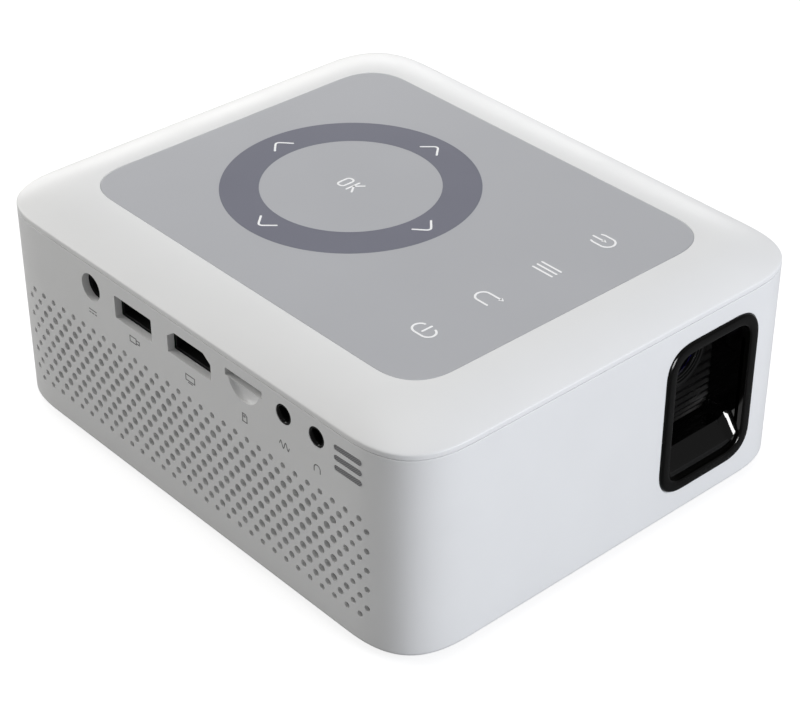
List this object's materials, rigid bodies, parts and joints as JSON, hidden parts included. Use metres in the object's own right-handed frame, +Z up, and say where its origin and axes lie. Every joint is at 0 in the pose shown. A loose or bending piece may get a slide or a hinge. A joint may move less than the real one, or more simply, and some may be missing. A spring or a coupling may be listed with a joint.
{
  "type": "home projector",
  "caption": "Compact white home projector with a domed top, flush touch panel, perforated side with sockets, and a focusing lens set back in a dark rectangular hood.",
  "frame": {"origin": "middle of the footprint, on the plane that the feet stand on", "axes": "X along the front (the sockets are on the -X side), +Y from the lens front to the back, +Z up; the lens looks along -Y"},
  "size_m": [0.1333, 0.158, 0.0629],
  "materials": {
    "case_white": "fine satin moulded plastic",
    "panel_grey": "smooth grey touch film with white print",
    "black_gloss": "polished black plastic",
    "dark_plastic": "fine matte black plastic",
    "rubber": "matte black rubber",
    "glass": "coated optical glass",
    "steel": "plated sheet steel",
    "aluminium": "raw extruded aluminium",
    "brass": "turned brass",
    "copper": "drawn copper tube",
    "board_green": "green solder mask",
    "ribbon_amber": "amber polyimide film"
  },
  "bodies": {
    "root": {"top_cover": "case_white", "touch_panel": "panel_grey", "touch_board": "board_green", "touch_ribbon": "ribbon_amber", "body_shell": "case_white", "base_plate": "case_white", "tripod_insert": "brass", "lens_bezel": "black_gloss", "lens_hood": "black_gloss", "focus_axle": "steel", "focus_bracket": "dark_plastic", "light_engine": "dark_plastic", "engine_cover": "aluminium", "condenser_lens": "glass", "prism": "glass", "imager_chip": "steel", "imager_board": "board_green", "led_module": "board_green", "heat_pipe": "copper", "heat_sink": "aluminium", "fan_frame": "dark_plastic", "speaker_basket": "steel", "speaker_cone": "dark_plastic", "main_board": "board_green", "power_board": "board_green", "dc_jack": "dark_plastic", "usb_port": "dark_plastic", "video_port": "dark_plastic", "card_socket": "steel", "av_jack": "dark_plastic", "headphone_jack": "dark_plastic", "rubber_foot_1": "rubber", "base_screw_1": "steel", "rubber_foot_2": "rubber", "base_screw_2": "steel", "rubber_foot_3": "rubber", "base_screw_3": "steel", "rubber_foot_4": "rubber", "base_screw_4": "steel"},
    "focus_wheel": {"focus_wheel": "rubber"},
    "focus_ring": {"focus_ring": "dark_plastic"},
    "lens_unit": {"lens_barrel": "dark_plastic", "front_lens": "glass", "rear_lens": "glass"},
    "fan": {"fan_rotor": "dark_plastic"}
  },
  "joints": [
    {"name": "focus_wheel", "type": "hinge", "parent": "root", "child": "focus_wheel", "pos_m": [0.0565, -0.0622, 0.039], "axis": [0, 1, 0], "range_deg": [-62, 62]},
    {"name": "focus_ring", "type": "hinge", "parent": "root", "child": "focus_ring", "pos_m": [0.0325, -0.0622, 0.039], "axis": [0, 1, 0], "range_deg": [-48, 48]},
    {"name": "lens_slide", "type": "slide", "parent": "root", "child": "lens_unit", "axis": [0, 1, 0], "range_m": [-0.0012, 0.0012]},
    {"name": "fan_spin", "type": "hinge", "parent": "root", "child": "fan", "pos_m": [-0.0575, 0.022, 0.0228], "axis": [1, 0, 0], "continuous": true}
  ],
  "couplings": [
    {"joint": "focus_ring", "follows": "focus_wheel", "ratio": -0.76471},
    {"joint": "lens_slide", "follows": "focus_wheel", "m_per_rad": 0.0010954}
  ]
}
